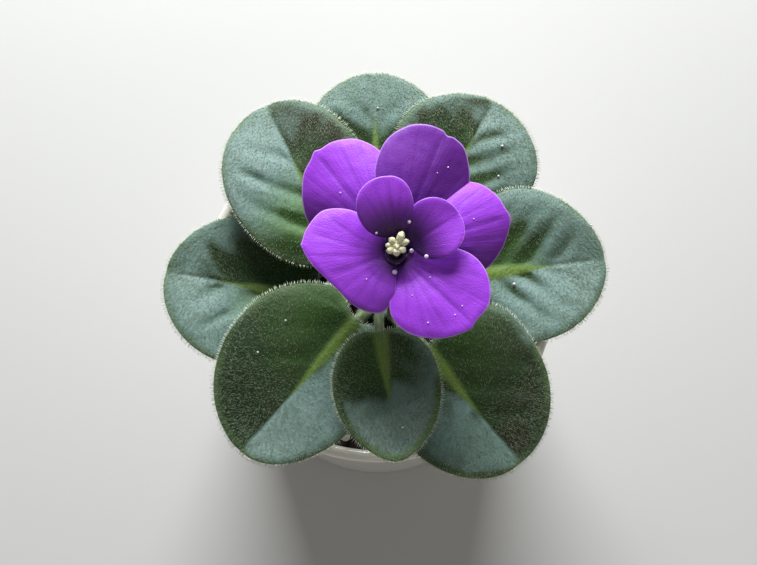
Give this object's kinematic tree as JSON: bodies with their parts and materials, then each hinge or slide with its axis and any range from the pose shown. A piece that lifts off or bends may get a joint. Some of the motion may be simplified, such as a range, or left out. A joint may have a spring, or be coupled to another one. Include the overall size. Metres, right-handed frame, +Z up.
{
  "type": "potted african violet",
  "caption": "African violet with a rosette of round hairy leaves and a purple double flower, growing in a plain white tapered ceramic pot.",
  "frame": {"origin": "centre of the pot's flat underside", "axes": "+Z up along the pot's axis, -Y towards the viewer's side of the plant, +X to that viewer's right"},
  "size_m": [0.1157, 0.1126, 0.1355],
  "materials": {
    "ceramic": "gloss",
    "soil": "matte",
    "grain": "matte",
    "stem": "satin",
    "leaf": "satin",
    "petal": "satin",
    "anther": "satin"
  },
  "bodies": {
    "root": {"pot": "ceramic", "soil": "soil", "soil_grain_1": "grain", "soil_grain_2": "grain", "soil_grain_3": "grain", "soil_grain_4": "grain", "soil_grain_5": "grain", "soil_grain_6": "grain", "crown": "stem", "leaf_back": "leaf", "leaf_back_left": "leaf", "leaf_left": "leaf", "leaf_front_left": "leaf", "leaf_front": "leaf", "leaf_front_right": "leaf", "leaf_right": "leaf", "leaf_back_right": "leaf", "young_leaf_left": "leaf", "young_leaf_right": "leaf", "young_leaf_back": "leaf", "flower_stalk": "stem", "calyx": "stem", "corolla_tube": "petal", "petal_upper_left": "petal", "petal_upper_right": "petal", "petal_right": "petal", "petal_lower_right": "petal", "petal_lower_left": "petal", "petal_inner_left": "petal", "petal_inner_right": "petal", "pistil": "anther", "stamens": "anther"}
  },
  "joints": []
}
